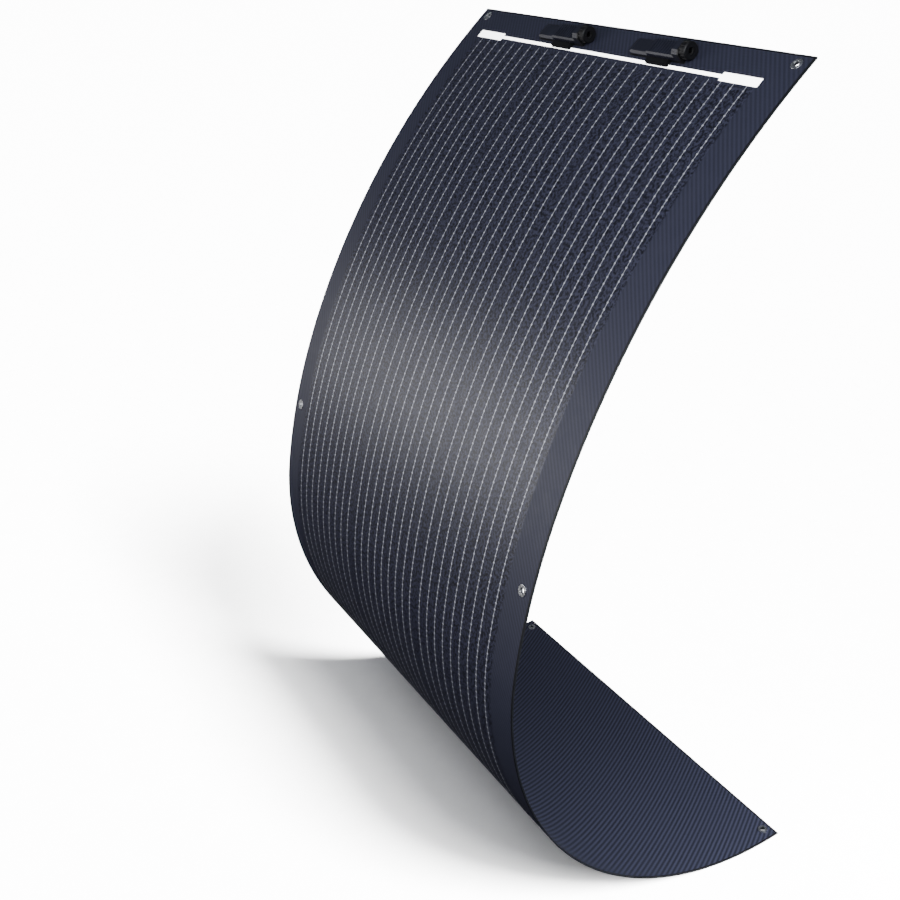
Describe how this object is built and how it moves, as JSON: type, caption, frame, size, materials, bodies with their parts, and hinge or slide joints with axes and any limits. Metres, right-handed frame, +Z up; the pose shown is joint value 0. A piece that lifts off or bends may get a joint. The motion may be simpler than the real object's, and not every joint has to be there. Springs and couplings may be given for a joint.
{
  "type": "flexible solar sheet",
  "caption": "Thin flexible solar sheet standing in a curve, with a wire grid, a white bus bar, ring eyelets and cable boxes at the top end.",
  "frame": {"origin": "middle of the top eyelet pair, on the front (cell) face", "axes": "+Z up, +Y across the sheet from the near edge to the far edge, +X towards the lying lower end"},
  "size_m": [0.3957, 0.545, 0.9243],
  "materials": {
    "film": "textured clear film over dark cells, soft sheen",
    "cells": "dark blue-black silicon cells",
    "wires": "tinned wire and ribbon",
    "back": "dark woven back sheet, twill",
    "bus": "white covered bus bar ribbon",
    "eyelet": "light bright metal rings",
    "box": "black moulded plastic",
    "glue": "black adhesive",
    "contact": "brass plates",
    "diode": "black diode body and leads",
    "seal": "black gland seal"
  },
  "bodies": {
    "strip_0": {"film_0": "film", "cells_0": "cells", "wires_0": "wires", "back_0": "back", "bus_top": "bus", "eyelets_top": "eyelet", "glue_pads": "glue", "contacts": "contact", "diodes": "diode", "seals": "seal", "base_near": "box", "lid_near": "box", "base_far": "box", "lid_far": "box"},
    "strip_1": {"film_1": "film", "cells_1": "cells", "wires_1": "wires", "back_1": "back"},
    "strip_2": {"film_2": "film", "cells_2": "cells", "wires_2": "wires", "back_2": "back"},
    "strip_3": {"film_3": "film", "cells_3": "cells", "wires_3": "wires", "back_3": "back", "eyelets_mid": "eyelet"},
    "strip_4": {"film_4": "film", "cells_4": "cells", "wires_4": "wires", "back_4": "back"},
    "strip_5": {"film_5": "film", "cells_5": "cells", "wires_5": "wires", "back_5": "back"},
    "strip_6": {"film_6": "film", "cells_6": "cells", "wires_6": "wires", "back_6": "back"},
    "strip_7": {"film_7": "film", "cells_7": "cells", "wires_7": "wires", "back_7": "back"},
    "strip_8": {"film_8": "film", "cells_8": "cells", "wires_8": "wires", "back_8": "back"},
    "strip_9": {"film_9": "film", "cells_9": "cells", "wires_9": "wires", "back_9": "back"},
    "strip_10": {"film_10": "film", "cells_10": "cells", "wires_10": "wires", "back_10": "back", "bus_bottom": "bus", "eyelets_bottom": "eyelet"},
    "nut_near": {"nut_near": "box"},
    "nut_far": {"nut_far": "box"}
  },
  "joints": [
    {"name": "flex_1", "type": "hinge", "parent": "strip_0", "child": "strip_1", "pos_m": [-0.08088, 0, -0.08444], "axis": [0, 1, 0], "range_deg": [0, 9.01]},
    {"name": "flex_2", "type": "hinge", "parent": "strip_1", "child": "strip_2", "pos_m": [-0.1771, 0, -0.2214], "axis": [0, 1, 0], "range_deg": [0, 10.24]},
    {"name": "flex_3", "type": "hinge", "parent": "strip_2", "child": "strip_3", "pos_m": [-0.2475, 0, -0.37325], "axis": [0, 1, 0], "range_deg": [0, 11.36]},
    {"name": "flex_4", "type": "hinge", "parent": "strip_3", "child": "strip_4", "pos_m": [-0.28664, 0, -0.53588], "axis": [0, 1, 0], "range_deg": [0, 13.38]},
    {"name": "flex_5", "type": "hinge", "parent": "strip_4", "child": "strip_5", "pos_m": [-0.28689, 0, -0.61946], "axis": [0, 1, 0], "range_deg": [0, 14.26]},
    {"name": "flex_6", "type": "hinge", "parent": "strip_5", "child": "strip_6", "pos_m": [-0.26656, 0, -0.70054], "axis": [0, 1, 0], "range_deg": [0, 14.26]},
    {"name": "flex_7", "type": "hinge", "parent": "strip_6", "child": "strip_7", "pos_m": [-0.2269, 0, -0.77411], "axis": [0, 1, 0], "range_deg": [0, 14.26]},
    {"name": "flex_8", "type": "hinge", "parent": "strip_7", "child": "strip_8", "pos_m": [-0.17036, 0, -0.83567], "axis": [0, 1, 0], "range_deg": [0, 14.26]},
    {"name": "flex_9", "type": "hinge", "parent": "strip_8", "child": "strip_9", "pos_m": [-0.1004, 0, -0.88141], "axis": [0, 1, 0], "range_deg": [0, 14.26]},
    {"name": "flex_10", "type": "hinge", "parent": "strip_9", "child": "strip_10", "pos_m": [-0.02134, 0, -0.90854], "axis": [0, 1, 0], "range_deg": [0, 18.06]},
    {"name": "nut_turn_near", "type": "hinge", "parent": "strip_0", "child": "nut_near", "pos_m": [-0.01408, -0.1305, -0.00034], "axis": [0, 1, 0], "range_deg": [0, 360]},
    {"name": "nut_turn_far", "type": "hinge", "parent": "strip_0", "child": "nut_far", "pos_m": [-0.01408, 0.0335, -0.00034], "axis": [0, 1, 0], "range_deg": [0, 360]}
  ],
  "couplings": [
    {"joint": "flex_2", "follows": "flex_1", "ratio": 1.134},
    {"joint": "flex_3", "follows": "flex_1", "ratio": 1.259},
    {"joint": "flex_4", "follows": "flex_1", "ratio": 1.483},
    {"joint": "flex_5", "follows": "flex_1", "ratio": 1.581},
    {"joint": "flex_6", "follows": "flex_1", "ratio": 1.581},
    {"joint": "flex_7", "follows": "flex_1", "ratio": 1.581},
    {"joint": "flex_8", "follows": "flex_1", "ratio": 1.581},
    {"joint": "flex_9", "follows": "flex_1", "ratio": 1.581},
    {"joint": "flex_10", "follows": "flex_1", "ratio": 2.002}
  ]
}
